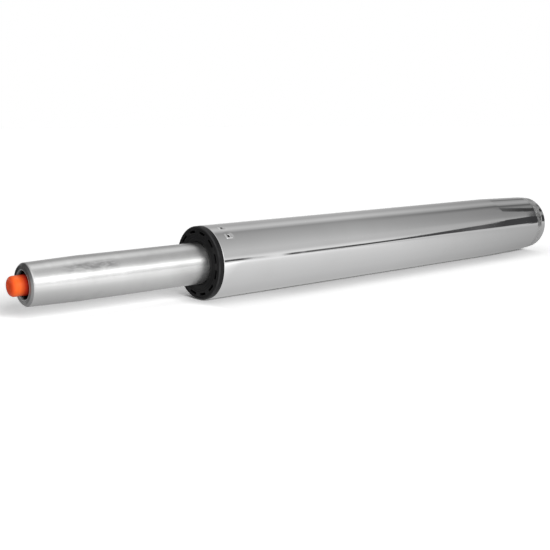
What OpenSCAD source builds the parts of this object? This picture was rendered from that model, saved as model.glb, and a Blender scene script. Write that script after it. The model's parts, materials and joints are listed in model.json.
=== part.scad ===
// Chair gas lift cylinder: a column that stands in the hub of a chair's base, a guide sleeve
// in its mouth, and a gas spring that slides and swivels in the sleeve and carries the seat.
// Every module below is written with the column upright: heights run from the column's base
// end, up to the release button. The finished pieces are laid down along X, base end at the
// origin and button towards -X, as the cylinder lies on a table. Millimetres.

/* [Column tube] */
// Height of the column, from its base end to the face of the guide sleeve's flange
column_h = 370; // [340:1:420]
// Outside diameter of the column
column_d = 50; // [48:0.5:53]
// Wall of the column's tube
column_wall = 2; // [1.6:0.1:2.4]
// Height over which the column tapers into the hub of the chair's base
base_taper_h = 62; // [50:1:80]
// Half angle of both tapers, in degrees: the furniture standard's 1 degree 26 minutes
taper_angle = 1.4378; // [1.2:0.01:1.8]
// Height of the swaged nose below the taper
nose_h = 13; // [10:0.5:18]
// How far the nose closes in, on the radius
nose_drop = 0.95; // [0.5:0.05:1.4]
// How far the lip under the base plate closes in past the plate's edge, on the radius
lip_drop = 0.9; // [0.5:0.1:1.5]
// Rounding of the tube's two ends
tube_end_round = 0.6; // [0.3:0.1:0.9]

/* [Stakes that hold the sleeve] */
// Distance from the tube's upper rim down to the middle of a stake
stake_below_rim = 10; // [8:0.5:11]
// Width of a stake, round the tube
stake_w = 3.5; // [2.5:0.1:5]
// Height of a stake's hole, along the tube
stake_h = 2; // [1.5:0.1:2.6]
// Angle from the top of the lying tube to the middle of a pair of stakes
stake_turn = 30; // [0:1:60]
// Angle between the two stakes of a pair
stake_spread = 22; // [16:1:40]

/* [Guide sleeve] */
// Thickness of the flange on the tube's rim
flange_t = 4; // [3:0.1:6]
// How much smaller the flange is than the column, on the radius
flange_inset = 0.1; // [0:0.05:0.5]
// Rounding of the flange's outer edge
flange_round = 1.2; // [0.6:0.1:2]
// Length of the sleeve below the flange
sleeve_h = 96; // [70:1:120]
// Wall of the sleeve's bearing tube
sleeve_wall = 2.6; // [2:0.1:3.4]
// Height of the bearing land at each end of the bore
land_h = 24; // [12:1:30]
// Depth of the relief between the two lands
land_relief = 0.5; // [0.2:0.1:1]
// Number of fins, and of slots in the flange
fin_count = 12; // [8:1:16]
// Thickness of a fin
fin_t = 1.8; // [1.2:0.1:2.6]
// Height of the collar under the flange, which has the stakes' groove
collar_h = 16; // [14:0.5:22]
// Height of the rings at the middle and the foot of the fins
fin_ring_h = 4; // [2:0.5:8]
// Height of the groove that the stakes bend into
stake_groove_h = 4.6; // [4:0.1:6]
// Depth of that groove
stake_groove_depth = 1.7; // [1.4:0.1:2.2]
// Length of a slot in the flange, across the radius
slot_l = 6.4; // [4:0.1:6.5]
// Width of a slot in the flange, along the radius
slot_w = 1.7; // [1:0.1:2]
// Depth of a slot
slot_depth = 7; // [4:0.5:9]
// Distance from the flange's edge in to the middle of a slot
slot_inset = 3.8; // [3.6:0.1:5]
// Distance between the shallow rings moulded on the flange's face
face_ring_pitch = 1.5; // [1.2:0.1:1.8]
// Depth of the furrow beside each ring
face_ring_depth = 0.25; // [0.1:0.05:0.5]

/* [Pressure tube] */
// Outside diameter of the pressure tube
tube_d = 28; // [27:0.5:30]
// Wall of the pressure tube
tube_wall = 2; // [1.6:0.1:2.4]
// Length of the pressure tube that stands out of the flange when the lift is down
tube_proud = 124.5; // [110:0.5:160]
// Length of the taper at the seat end
seat_taper_h = 35; // [25:1:50]
// Chamfer at the tip of the taper
tip_chamfer = 1.3; // [0.6:0.1:1.6]
// Diameter of the mouth in the tip
tip_mouth_d = 17.7; // [15:0.1:19]
// Thickness of the end rolled in over the valve body
tip_lip = 2.5; // [1.8:0.1:3.5]
// Thickness of the end rolled in under the closing washer
foot_lip = 2; // [1.4:0.1:3]
// Diameter of the hole in the foot of the tube
foot_hole_d = 18; // [14:0.5:20]
// How far the lift rises
stroke = 250; // [200:1:270]

/* [Thrust bearing] */
// Depth of the recess under the base plate
base_recess = 5; // [4.6:0.1:8]
// Thickness of the base plate
plate_t = 6; // [4:0.5:9]
// Depth of the pocket in the plate that locates the lower race
plate_pocket = 0.8; // [0.4:0.1:1.5]
// Outside diameter of the races
race_d = 24; // [22:0.5:27]
// Thickness of a race
race_t = 2.5; // [2:0.1:3.5]
// Depth of the balls' groove in a race
race_groove = 0.7; // [0.4:0.05:0.9]
// Diameter of a ball
ball_d = 4; // [3.4:0.1:4.4]
// Number of balls
ball_count = 10; // [6:1:10]
// Diameter of the circle that the balls run on
ball_circle_d = 17; // [16.4:0.1:17.8]
// Thickness of the balls' cage
cage_t = 1.6; // [0.8:0.1:1.7]
// Width of the cage, from its bore to its rim
cage_w = 6.6; // [6:0.1:7]

/* [Bumper] */
// Thickness of the cup under the bumper
cup_t = 1.2; // [0.8:0.1:2]
// Height of the cup's rim
cup_rim_h = 3; // [2:0.1:5]
// Diameter of the bumper
bumper_d = 23; // [20:0.5:26]
// Height of the bumper
bumper_h = 9; // [7:0.5:14]
// Depth of the waist round the bumper
bumper_waist = 1.6; // [0.8:0.1:2.4]

/* [Piston rod] */
// Diameter of the rod
rod_d = 10; // [9:0.1:11]
// Diameter of the rod's foot, which passes through the bearing
rod_foot_d = 8; // [7:0.1:8.4]
// Diameter of the rod's top, which carries the piston
rod_top_d = 7; // [5:0.1:8]
// How far the rod's foot stays inside the column's end
rod_foot_gap = 0.8; // [0.4:0.1:1.2]
// Diameter of the washer under the base plate
washer_d = 20; // [16:0.5:26]
// Thickness of that washer
washer_t = 1.5; // [1:0.1:1.6]
// Diameter of the retaining clip
clip_d = 14; // [12.5:0.5:18]
// Thickness of the retaining clip
clip_t = 1.2; // [0.8:0.1:1.4]
// Depth of the clip's groove in the rod
clip_groove = 0.9; // [0.5:0.1:1.4]
// Width of a lug inside the clip
clip_lug_w = 2.4; // [1.6:0.1:3]

/* [Piston] */
// Height of the piston
piston_h = 14; // [10:0.5:20]
// Height of the piston's seal
piston_seal_h = 3; // [2:0.1:4]
// Thickness of the piston's seal, on the radius
piston_seal_t = 2; // [1.4:0.1:2.6]
// Thickness of the washer on the piston
piston_washer_t = 1.5; // [1:0.1:2.5]
// Width of the nut across its flats
nut_flats = 11; // [10:0.5:13]
// Height of the nut
nut_h = 4; // [3:0.5:6]
// How far the washer on the piston reaches past the nut's flats
washer_reach = 1; // [0.6:0.1:1.6]
// How far the rod stands out of the nut
rod_proud = 1; // [0.5:0.1:2]

/* [Liner, rod guide and rod seal] */
// Outside diameter of the cylinder's liner
liner_d = 20; // [18.6:0.1:21]
// Wall of the liner
liner_wall = 1; // [0.6:0.1:1.4]
// Thickness of the closing washer in the foot of the tube
closing_t = 2; // [1.2:0.1:3]
// Height of the rod seal
rod_seal_h = 6; // [4:0.5:9]
// Thickness of the rod seal's lip
seal_lip_t = 1.4; // [1:0.1:1.8]
// Height of the rod guide's head, which fills the tube
guide_head_h = 10; // [8:0.5:14]
// Height of the rod guide's spigot, inside the liner
guide_spigot_h = 8; // [6:0.5:12]
// Section of the round seals on the guide and on the valve body
oring_d = 2; // [1.6:0.1:2.4]
// Number of gas channels in the rod guide
channel_count = 4; // [2:1:6]
// Width and depth of a gas channel
channel_w = 1.5; // [1:0.1:2.5]

/* [Valve] */
// Height of the valve body
valve_h = 38; // [36:0.5:44]
// Height of the snout inside the liner
snout_h = 10; // [8.5:0.5:12]
// Height of the neck that the gas port opens from
neck_h = 4; // [3.4:0.1:6]
// Gap left under the button when it is pressed home
well_gap = 1.5; // [0.5:0.1:2.5]
// Diameter of the valve pin
pin_d = 5; // [4.4:0.1:5.4]
// Diameter of the pin's waist, which lets the gas pass
pin_waist_d = 3.2; // [2:0.1:3.6]
// Diameter of the pin's head, which stops it
pin_head_d = 6.4; // [6:0.1:7.6]
// Thickness of the pin's head
pin_head_t = 2; // [1:0.1:3]
// Diameter of the chamber for the pin's seals
chamber_d = 8.4; // [8:0.1:9.6]
// Thickness of the valve's retaining ring
retainer_t = 2; // [1.2:0.1:2.6]
// Height of one pin seal
pin_seal_h = 3; // [2.4:0.1:3.4]
// Height of the spacer between the two pin seals
spacer_h = 8; // [7:0.1:9]
// Diameter of a gas port
port_d = 2.2; // [1.2:0.1:2.4]

/* [Release button] */
// Diameter of the button
button_d = 12.5; // [11:0.1:14]
// How far the button stands out of the tip
button_proud = 8.3; // [6:0.1:11]
// Length of the button inside the tip
button_inside = 9; // [6:0.5:11]
// Rounding of the button's end
button_round = 1.9; // [0.6:0.1:2.4]
// Wall of the button's skirt
button_wall = 1.4; // [1:0.1:1.8]
// Length of the pin that the button holds
pin_grip = 12; // [8:0.5:14]
// How far the button can be pressed
button_travel = 4; // [2.5:0.1:4.2]

/* [Clearances] */
// Radial clearance of a piece that slides or turns in another
run_fit = 0.05; // [0.03:0.01:0.1]
// Radial clearance of a piece that is fitted in another and stays there
seat_fit = 0.03; // [0.01:0.01:0.06]
// Radial clearance where a piece only passes through another
pass_fit = 0.4; // [0.2:0.1:0.6]
// Gap between a stop and the piece that it stops
stop_gap = 0.3; // [0.2:0.1:0.5]
// Play between faces that turn on each other
end_play = 0.1; // [0.05:0.05:0.3]
// Gap between a ball and what it runs in
ball_gap = 0.03; // [0.02:0.01:0.05]

/* [Hidden] */
$fn = 96;

// Small sizes that only break an edge or close a cut
edge = 0.5;
over = 1;

// Radii
column_r = column_d / 2;
bore_r = column_r - column_wall;
tube_r = tube_d / 2;
tube_bore_r = tube_r - tube_wall;
rod_r = rod_d / 2;
rod_foot_r = rod_foot_d / 2;
liner_r = liner_d / 2;
liner_bore_r = liner_r - liner_wall;
race_r = race_d / 2;
ball_r = ball_d / 2;
pin_r = pin_d / 2;
chamber_r = chamber_d / 2;
button_r = button_d / 2;
mouth_r = tip_mouth_d / 2;
sleeve_fit_r = bore_r - seat_fit;
sleeve_bore_r = tube_r + run_fit;
sleeve_wall_r = sleeve_bore_r + land_relief + sleeve_wall;
tip_r = tube_r - seat_taper_h * tan(taper_angle);

// Heights in the column's foot, from the base end up
rim_z = column_h - flange_t;
plate_z = base_recess;
plate_top = plate_z + plate_t;
race_z = plate_top - plate_pocket;
race_top = race_z + race_t;
ball_reach = ball_r - race_groove + ball_gap;
ball_z = race_top + ball_reach;
upper_race_z = ball_z + ball_reach;
cup_z = upper_race_z + race_t;
bumper_z = cup_z + cup_t;
tube_z = bumper_z + bumper_h + stop_gap;
washer_z = plate_z - end_play - washer_t;
clip_z = washer_z - clip_t;

// Heights in the foot of the pressure tube, with the lift down
closing_z = tube_z + foot_lip;
rod_seal_z = closing_z + closing_t;
guide_z = rod_seal_z + rod_seal_h;
liner_z = guide_z + guide_head_h;
guide_top = liner_z + guide_spigot_h;

// Heights of the piston: the guide comes up to it when the lift is at its top
piston_z = guide_top + stroke + stop_gap;
piston_top = piston_z + piston_h;
nut_z = piston_top + piston_washer_t;
rod_top = nut_z + nut_h + rod_proud;

// Heights at the seat end
tip_z = column_h + tube_proud;
valve_top = tip_z - tip_lip;
valve_z = valve_top - valve_h;
valve_shoulder = valve_z + snout_h;
valve_body_z = valve_shoulder + neck_h;
seal_a_z = valve_z + retainer_t;
spacer_z = seal_a_z + pin_seal_h;
seal_b_z = spacer_z + spacer_h;
chamber_top = seal_b_z + pin_seal_h;
port_z = valve_shoulder + port_d / 2 + edge;
pin_waist_z = spacer_z + edge;
pin_waist_h = button_travel + 2 * edge;
button_z = tip_z - button_inside;
well_z = button_z - button_travel - well_gap;
button_top = tip_z + button_proud;
pin_top = button_z + pin_grip;

// Heights of the stakes and of their groove in the sleeve
stake_z = rim_z - stake_below_rim;

// Outside radius of the column at a height: straight, then the taper, then the nose
function taper_r(z) = column_r - max(0, base_taper_h - z) * tan(taper_angle);
function nose_r(z) = let (part = 1 - z / nose_h) taper_r(nose_h) - nose_drop * (part + part * part) / 2;

// Points of a quarter circle, for the rounding of a profile
function arc(centre, r, from, to, steps = 6) =
    [for (i = [0:steps]) centre + r * [cos(from + (to - from) * i / steps),
                                       sin(from + (to - from) * i / steps)]];

// Turns the upright pieces to lie along X, with their seat end towards -X
module lay_down() { rotate([0, -90, 0]) children(); }

// A ring or a disc with a bore, from one height to another
module ring(outer, inner, from, to) {
    translate([0, 0, from])
        difference() {
            cylinder(r = outer, h = to - from);
            translate([0, 0, -over]) cylinder(r = inner, h = to - from + 2 * over);
        }
}

// A ring with its four edges broken
module broken_ring(outer, inner, from, to, break = edge) {
    rotate_extrude()
        polygon([[inner + break, from], [outer - break, from], [outer, from + break],
                 [outer, to - break], [outer - break, to], [inner + break, to],
                 [inner, to - break], [inner, from + break]]);
}

// A round seal of circular section
module round_seal(r, section, z) {
    rotate_extrude() translate([r, z]) circle(d = section);
}

// What repeats round the axis
module around(count, turn = 0) {
    for (i = [0:count - 1]) rotate(turn + 360 * i / count) children();
}

// Places a stake at each of the four places: a pair, and a pair opposite
module at_stakes() {
    for (side = [0, 180])
        for (half = [-0.5, 0.5])
            rotate(side - stake_turn + half * stake_spread) children();
}

// The tube's wall: straight, tapered, and swaged in at the nose over the base plate
module tube_wall_shape() {
    rotate_extrude()
        polygon(concat(
            [[bore_r, rim_z - edge / 2], [bore_r, base_taper_h]],
            [[taper_r(plate_z) - column_wall, plate_z]],
            [[taper_r(plate_z) - column_wall - lip_drop, plate_z]],
            [[taper_r(plate_z) - column_wall - lip_drop, edge]],
            [[taper_r(plate_z) - column_wall - lip_drop + edge, 0]],
            arc([nose_r(0) - tube_end_round, tube_end_round], tube_end_round, -90, 0),
            [for (i = [1:5]) [nose_r(i * nose_h / 6), i * nose_h / 6]],
            [[taper_r(nose_h), nose_h], [column_r, base_taper_h]],
            arc([column_r - tube_end_round, rim_z - tube_end_round], tube_end_round, 0, 90),
            [[bore_r + edge / 2, rim_z]]));
}

// The tongue that a stake bends into the sleeve's groove
module stake_tongue() {
    reach = column_wall / 2 + stake_groove_depth - edge;
    translate([bore_r + column_wall / 2 - reach, -stake_w / 2, stake_z + stake_h / 2 - edge / 2])
        cube([reach, stake_w, 2 * edge]);
}

module outer_tube() {
    color("gainsboro") lay_down()
        union() {
            difference() {
                tube_wall_shape();
                at_stakes()
                    translate([bore_r - over, -stake_w / 2, stake_z - stake_h / 2])
                        cube([column_wall + 2 * over, stake_w, stake_h]);
            }
            at_stakes() stake_tongue();
        }
}

// The disc that closes the column and carries the thrust bearing
module base_plate() {
    color("silver") lay_down()
        difference() {
            rotate_extrude()
                polygon([[0, plate_z], [taper_r(plate_z) - column_wall - seat_fit, plate_z],
                         [taper_r(plate_top) - column_wall - seat_fit, plate_top], [0, plate_top]]);
            translate([0, 0, plate_z - over])
                cylinder(r = rod_foot_r + end_play, h = plate_t + 2 * over);
            translate([0, 0, race_z]) cylinder(r = race_r + end_play, h = plate_pocket + over);
        }
}

// The moulded sleeve's solid, before its slots, furrows and fins' gaps
module sleeve_blank() {
    flange_r = column_r - flange_inset;
    rotate_extrude()
        polygon(concat(
            [[sleeve_bore_r, rim_z - sleeve_h + edge], [sleeve_bore_r + edge, rim_z - sleeve_h]],
            [[sleeve_fit_r - 2 * edge, rim_z - sleeve_h]],
            [[sleeve_fit_r, rim_z - sleeve_h + 4 * edge], [sleeve_fit_r, rim_z]],
            [[flange_r, rim_z]],
            arc([flange_r - flange_round, column_h - flange_round], flange_round, 0, 90),
            [[sleeve_bore_r + 2 * edge, column_h], [sleeve_bore_r, column_h - 2 * edge]]));
}

// The space between two fins, from one ring to the next
module fin_gap(from, to) {
    difference() {
        ring(bore_r + over, sleeve_wall_r, from, to);
        around(fin_count)
            translate([0, -fin_t / 2, from - over]) cube([column_r, fin_t, to - from + 2 * over]);
    }
}

// The plastic sleeve that guides the pressure tube: flange, collar, fins and two bearing lands
module guide_sleeve() {
    foot_z = rim_z - sleeve_h;
    collar_z = rim_z - collar_h;
    gap_h = (collar_z - foot_z - 2 * fin_ring_h) / 2;
    slot_r = column_r - flange_inset - slot_inset;
    color("dimgray") lay_down()
        difference() {
            sleeve_blank();
            ring(sleeve_bore_r + land_relief, tube_r - over, foot_z + land_h, column_h - land_h);
            ring(bore_r + over, sleeve_fit_r - stake_groove_depth,
                 stake_z - stake_groove_h / 2, stake_z + stake_groove_h / 2);
            fin_gap(foot_z + fin_ring_h, foot_z + fin_ring_h + gap_h);
            fin_gap(foot_z + 2 * fin_ring_h + gap_h, collar_z);
            around(fin_count, 180 / fin_count)
                translate([slot_r - slot_w / 2, -slot_l / 2, column_h - slot_depth])
                    cube([slot_w, slot_l, slot_depth + over]);
            for (i = [0:1])
                ring(slot_r - slot_w - i * face_ring_pitch,
                     slot_r - slot_w - i * face_ring_pitch - face_ring_pitch / 2,
                     column_h - face_ring_depth, column_h + over);
        }
}

// One race of the thrust bearing, with its ball groove on the side that side_up names
module race(z, bore, side_up) {
    groove_z = side_up ? z + race_t + ball_reach : z - ball_reach;
    difference() {
        broken_ring(race_r, bore, z, z + race_t, edge / 2);
        round_seal(ball_circle_d / 2, ball_d + 2 * ball_gap, groove_z);
    }
}

module lower_race() {
    color("lightsteelblue") lay_down() race(race_z, rod_foot_r + pass_fit, true);
}

module upper_race() {
    color("lightsteelblue") lay_down() race(upper_race_z, rod_foot_r + seat_fit, false);
}

// The flat cage that keeps the balls apart
module ball_cage() {
    middle_r = ball_circle_d / 2;
    color("goldenrod") lay_down()
        difference() {
            ring(middle_r + cage_w / 2, middle_r - cage_w / 2, ball_z - cage_t / 2, ball_z + cage_t / 2);
            around(ball_count)
                translate([middle_r, 0, ball_z - cage_t])
                    cylinder(r = ball_r + ball_gap, h = 2 * cage_t, $fn = 32);
        }
}

module bearing_balls() {
    color("white") lay_down()
        around(ball_count) translate([ball_circle_d / 2, 0, ball_z]) sphere(r = ball_r, $fn = 32);
}

// The pressed cup that spreads the bumper's load on the upper race
module bumper_cup() {
    cup_r = bumper_d / 2 + seat_fit + cup_t;
    color("slategray") lay_down()
        union() {
            ring(cup_r, rod_r + seat_fit, cup_z, cup_z + cup_t);
            broken_ring(cup_r, cup_r - cup_t, cup_z, cup_z + cup_rim_h, cup_t / 4);
        }
}

// The rubber ring that the pressure tube lands on when the lift is down
module bumper() {
    outer = bumper_d / 2;
    inner = rod_r + end_play;
    waist_z = bumper_z + (cup_rim_h - cup_t + bumper_h) / 2;
    waist_h = 2 * bumper_waist;
    color("#202022") lay_down()
        rotate_extrude()
            polygon([[inner, bumper_z], [outer, bumper_z], [outer, waist_z - waist_h / 2],
                     [outer - bumper_waist, waist_z], [outer, waist_z + waist_h / 2],
                     [outer, bumper_z + bumper_h - edge], [outer - edge, bumper_z + bumper_h],
                     [inner + edge, bumper_z + bumper_h], [inner, bumper_z + bumper_h - edge]]);
}

// The rod: its foot turns in the base plate, its shoulder stands on the upper race
module piston_rod() {
    foot_z = rod_foot_gap;
    shoulder = cup_z;
    groove_r = rod_foot_r - clip_groove;
    color("silver") lay_down()
        rotate_extrude()
            polygon([[0, foot_z], [rod_foot_r - edge, foot_z], [rod_foot_r, foot_z + edge],
                     [rod_foot_r, clip_z - ball_gap], [groove_r, clip_z - ball_gap],
                     [groove_r, clip_z + clip_t + ball_gap], [rod_foot_r, clip_z + clip_t + ball_gap],
                     [rod_foot_r, shoulder], [rod_r, shoulder], [rod_r, piston_z],
                     [rod_top_d / 2, piston_z], [rod_top_d / 2, rod_top - edge],
                     [rod_top_d / 2 - edge, rod_top], [0, rod_top]]);
}

module end_washer() {
    color("silver") lay_down()
        broken_ring(washer_d / 2, rod_foot_r + seat_fit, washer_z, washer_z + washer_t, edge / 2);
}

// The clip that snaps into the rod's groove: an open ring with three inner lugs
module retaining_clip() {
    grip_r = rod_foot_r - clip_groove + seat_fit;
    body_r = rod_foot_r + edge;
    lug_turns = [65, 180, 295];
    gap_slope = 0.6;
    color("darkgray") lay_down()
        translate([0, 0, clip_z])
            linear_extrude(height = clip_t)
                difference() {
                    union() {
                        difference() {
                            circle(d = clip_d);
                            circle(r = body_r);
                            polygon([[0, 0], clip_d * [1, gap_slope], clip_d * [1, -gap_slope]]);
                        }
                        for (turn = lug_turns)
                            rotate(turn)
                                translate([0, -clip_lug_w / 2]) square([body_r + edge, clip_lug_w]);
                    }
                    circle(r = grip_r);
                }
}

// The piston, with the groove for its seal
module piston() {
    outer = liner_bore_r - 2 * run_fit;
    seal_z = piston_z + (piston_h - piston_seal_h) / 2;
    color("whitesmoke") lay_down()
        difference() {
            broken_ring(outer, rod_top_d / 2 + seat_fit, piston_z, piston_top);
            ring(outer + over, liner_bore_r - run_fit - piston_seal_t, seal_z, seal_z + piston_seal_h);
        }
}

module piston_seal() {
    outer = liner_bore_r - run_fit;
    seal_z = piston_z + (piston_h - piston_seal_h) / 2;
    color("#303234") lay_down()
        broken_ring(outer, outer - piston_seal_t + seat_fit, seal_z + seat_fit,
                    seal_z + piston_seal_h - seat_fit, edge / 2);
}

module piston_washer() {
    color("silver") lay_down()
        ring(nut_flats / 2 + washer_reach, rod_top_d / 2 + seat_fit, piston_top, nut_z);
}

module piston_nut() {
    corner_d = nut_flats / cos(30);
    color("silver") lay_down()
        translate([0, 0, nut_z])
            difference() {
                cylinder(d = corner_d, h = nut_h, $fn = 6);
                translate([0, 0, -over]) cylinder(r = rod_top_d / 2 + seat_fit, h = nut_h + 2 * over);
            }
}

// The gas spring's outer tube: ground on its length, tapered and rolled in at the seat end
module pressure_tube() {
    taper_z = tip_z - seat_taper_h;
    color("lightgray") lay_down()
        rotate_extrude()
            polygon(concat(
                [[foot_hole_d / 2, tube_z]],
                arc([tube_r - foot_lip / 2, tube_z + foot_lip / 2], foot_lip / 2, -90, 0),
                [[tube_r, taper_z], [tip_r + tip_chamfer * tan(taper_angle), tip_z - tip_chamfer],
                 [tip_r - tip_chamfer, tip_z], [mouth_r + edge / 2, tip_z],
                 [mouth_r, tip_z - edge / 2], [mouth_r, valve_top], [tube_bore_r, valve_top],
                 [tube_bore_r, closing_z], [foot_hole_d / 2, closing_z]]));
}

module closing_washer() {
    color("silver") lay_down()
        ring(tube_bore_r - seat_fit, rod_r + pass_fit, closing_z, rod_seal_z);
}

// The lip seal round the rod, with the hollow behind its lip
module rod_seal() {
    outer = tube_bore_r - seat_fit;
    inner = rod_r + run_fit;
    hollow_z = rod_seal_z + rod_seal_h / 2;
    color("#26282a") lay_down()
        rotate_extrude()
            polygon([[inner + edge, rod_seal_z], [outer, rod_seal_z], [outer, guide_z],
                     [outer - 2 * seal_lip_t, guide_z], [outer - 2 * seal_lip_t - edge, hollow_z],
                     [inner + seal_lip_t + edge, hollow_z], [inner + seal_lip_t, guide_z],
                     [inner, guide_z], [inner, rod_seal_z + edge]]);
}

// The guide that centres the rod and the liner, with channels for the gas
module rod_guide() {
    head_r = tube_bore_r - seat_fit;
    spigot_r = liner_bore_r - seat_fit;
    color("burlywood") lay_down()
        difference() {
            union() {
                ring(head_r, rod_r + run_fit, guide_z, liner_z);
                ring(spigot_r, rod_r + run_fit, liner_z - over, guide_top);
            }
            round_seal(head_r - oring_d / 2 + seat_fit, oring_d + 2 * seat_fit, guide_z + guide_head_h / 2);
            around(channel_count)
                translate([spigot_r - channel_w, -channel_w / 2, liner_z - channel_w])
                    cube([tube_bore_r, channel_w, channel_w + over / 2]);
            around(channel_count)
                translate([spigot_r - channel_w, -channel_w / 2, liner_z - channel_w])
                    cube([channel_w + over, channel_w, guide_spigot_h + channel_w + over]);
        }
}

module guide_seal() {
    color("#26282a") lay_down()
        round_seal(tube_bore_r - seat_fit - oring_d / 2, oring_d, guide_z + guide_head_h / 2);
}

// The inner tube that the piston runs in; the gas passes up round its outside
module cylinder_liner() {
    color("lightgray") lay_down() ring(liner_r, liner_bore_r, liner_z, valve_shoulder);
}

// Heights and radii of the round seals on the valve body
snout_seal_z = valve_z + snout_h / 2;
snout_seal_r = liner_bore_r - seat_fit - oring_d / 2;
body_seal_z = valve_body_z + oring_d;
body_seal_r = tube_bore_r - seat_fit - oring_d / 2;

// The valve body: snout in the liner, neck with the gas port, body with the button's well
module valve_body() {
    color("peru") lay_down()
        difference() {
            union() {
                ring(liner_bore_r - seat_fit, chamber_r, valve_z, valve_shoulder + over);
                ring(liner_r, chamber_r, valve_shoulder, valve_body_z);
                ring(tube_bore_r - seat_fit, pin_r + run_fit, valve_body_z, valve_top);
            }
            translate([0, 0, valve_z - over]) cylinder(r = chamber_r, h = chamber_top - valve_z + over);
            translate([0, 0, well_z]) cylinder(r = mouth_r, h = valve_top - well_z + over);
            round_seal(snout_seal_r + seat_fit, oring_d + 2 * seat_fit, snout_seal_z);
            round_seal(body_seal_r + seat_fit, oring_d + 2 * seat_fit, body_seal_z);
            translate([-liner_r - over, 0, port_z]) rotate([0, 90, 0])
                cylinder(d = port_d, h = 2 * (liner_r + over), $fn = 32);
        }
}

module valve_seals() {
    color("#26282a") lay_down() {
        round_seal(snout_seal_r, oring_d, snout_seal_z);
        round_seal(body_seal_r, oring_d, body_seal_z);
    }
}

// The two seals round the valve pin: the lower one opens, the upper one keeps the gas in
module pin_seals() {
    color("#3a3c3e") lay_down() {
        broken_ring(chamber_r - seat_fit, pin_r + run_fit, seal_a_z, spacer_z, edge / 2);
        broken_ring(chamber_r - seat_fit, pin_r + run_fit, seal_b_z, chamber_top, edge / 2);
    }
}

module pin_spacer() {
    color("khaki") lay_down()
        difference() {
            ring(chamber_r - seat_fit, (chamber_r + pin_r) / 2, spacer_z, seal_b_z);
            translate([-chamber_r - over, 0, port_z]) rotate([0, 90, 0])
                cylinder(d = port_d, h = 2 * (chamber_r + over), $fn = 32);
        }
}

module valve_retainer() {
    color("silver") lay_down() ring(chamber_r - seat_fit, pin_r + run_fit, valve_z, seal_a_z);
}

// The pin: its waist comes into the lower seal when the button is pressed
module valve_pin() {
    head_top = valve_z - end_play;
    color("silver") lay_down()
        rotate_extrude()
            polygon([[0, head_top - pin_head_t], [pin_head_d / 2, head_top - pin_head_t],
                     [pin_head_d / 2, head_top], [pin_r, head_top], [pin_r, pin_waist_z - edge],
                     [pin_waist_d / 2, pin_waist_z], [pin_waist_d / 2, pin_waist_z + pin_waist_h],
                     [pin_r, pin_waist_z + pin_waist_h + edge], [pin_r, pin_top - edge],
                     [pin_r - edge, pin_top], [0, pin_top]]);
}

// The button: a moulded cap with a boss that grips the pin
module release_button() {
    skirt_top = button_top - 2 * button_round - button_wall;
    boss_r = pin_r + button_wall;
    color("orangered") lay_down()
        difference() {
            rotate_extrude()
                polygon(concat(
                    [[pin_r + seat_fit, button_z], [button_r - edge / 2, button_z]],
                    [[button_r, button_z + edge / 2]],
                    arc([button_r - button_round, button_top - button_round], button_round, 0, 90),
                    [[0, button_top], [0, pin_top + end_play], [pin_r + seat_fit, pin_top + end_play]]));
            ring(button_r - button_wall, boss_r, button_z - over, skirt_top);
        }
}

outer_tube();
base_plate();
guide_sleeve();
lower_race();
ball_cage();
bearing_balls();
upper_race();
bumper_cup();
bumper();
piston_rod();
end_washer();
retaining_clip();
piston();
piston_seal();
piston_washer();
piston_nut();
pressure_tube();
closing_washer();
rod_seal();
rod_guide();
guide_seal();
cylinder_liner();
valve_body();
valve_seals();
pin_seals();
pin_spacer();
valve_retainer();
valve_pin();
release_button();
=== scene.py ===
# %% [markdown]
# # A chair's gas lift cylinder
#
# The object is the cylinder under an office chair: a chromed column that stands in the
# chair's base, a black plastic sleeve in its mouth, and a gas spring of ground steel that
# slides in the sleeve and carries the seat, with an orange button in its tip. It lies on a
# white table. The engineering model holds every piece at its true size. Here the pieces that
# show are modelled again with their small radii, slots and punched marks, and every piece
# gets its finish.
#
# All lengths below are in millimetres, measured from the column's base end up to the button,
# and the axis of the cylinder is the X axis, with the button towards -X.

# %% Open the engineering model
import json
from math import atan2, cos, degrees, hypot, pi, radians, sin, tan

import bmesh
import bpy
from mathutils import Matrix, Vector


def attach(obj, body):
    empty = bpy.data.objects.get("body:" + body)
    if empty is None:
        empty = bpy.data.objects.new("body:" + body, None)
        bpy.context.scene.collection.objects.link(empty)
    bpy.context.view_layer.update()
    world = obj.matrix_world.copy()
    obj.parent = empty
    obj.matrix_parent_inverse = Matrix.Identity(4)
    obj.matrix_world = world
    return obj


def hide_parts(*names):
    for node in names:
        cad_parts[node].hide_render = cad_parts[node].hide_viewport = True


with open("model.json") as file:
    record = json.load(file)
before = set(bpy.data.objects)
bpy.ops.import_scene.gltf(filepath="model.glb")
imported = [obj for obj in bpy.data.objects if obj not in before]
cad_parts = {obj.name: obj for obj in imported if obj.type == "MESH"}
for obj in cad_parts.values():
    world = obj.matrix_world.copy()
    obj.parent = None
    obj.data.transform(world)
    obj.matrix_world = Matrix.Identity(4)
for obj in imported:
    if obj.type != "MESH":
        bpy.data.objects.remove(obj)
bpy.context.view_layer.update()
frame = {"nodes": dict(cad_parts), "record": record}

MM = 0.001
nodes = frame["nodes"]
print("pieces in the model:", len(nodes))

# %% [markdown]
# ## The camera
#
# The photograph looks down at the cylinder by ten degrees and along it by fifty, from about a
# metre, so that the near end is drawn much larger than the far one. The camera stands where
# the outlines of both tubes agree with that. A lens of 59 mm on a sensor of 36 mm takes in
# the same field.

# %% Set the camera
CAMERA_PLACE = (-712.7, -490.0, 96.9)
LOOKS_DOWN = 9.99
LOOKS_ROUND = -39.96
LENS = 58.909
SENSOR = 36

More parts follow.
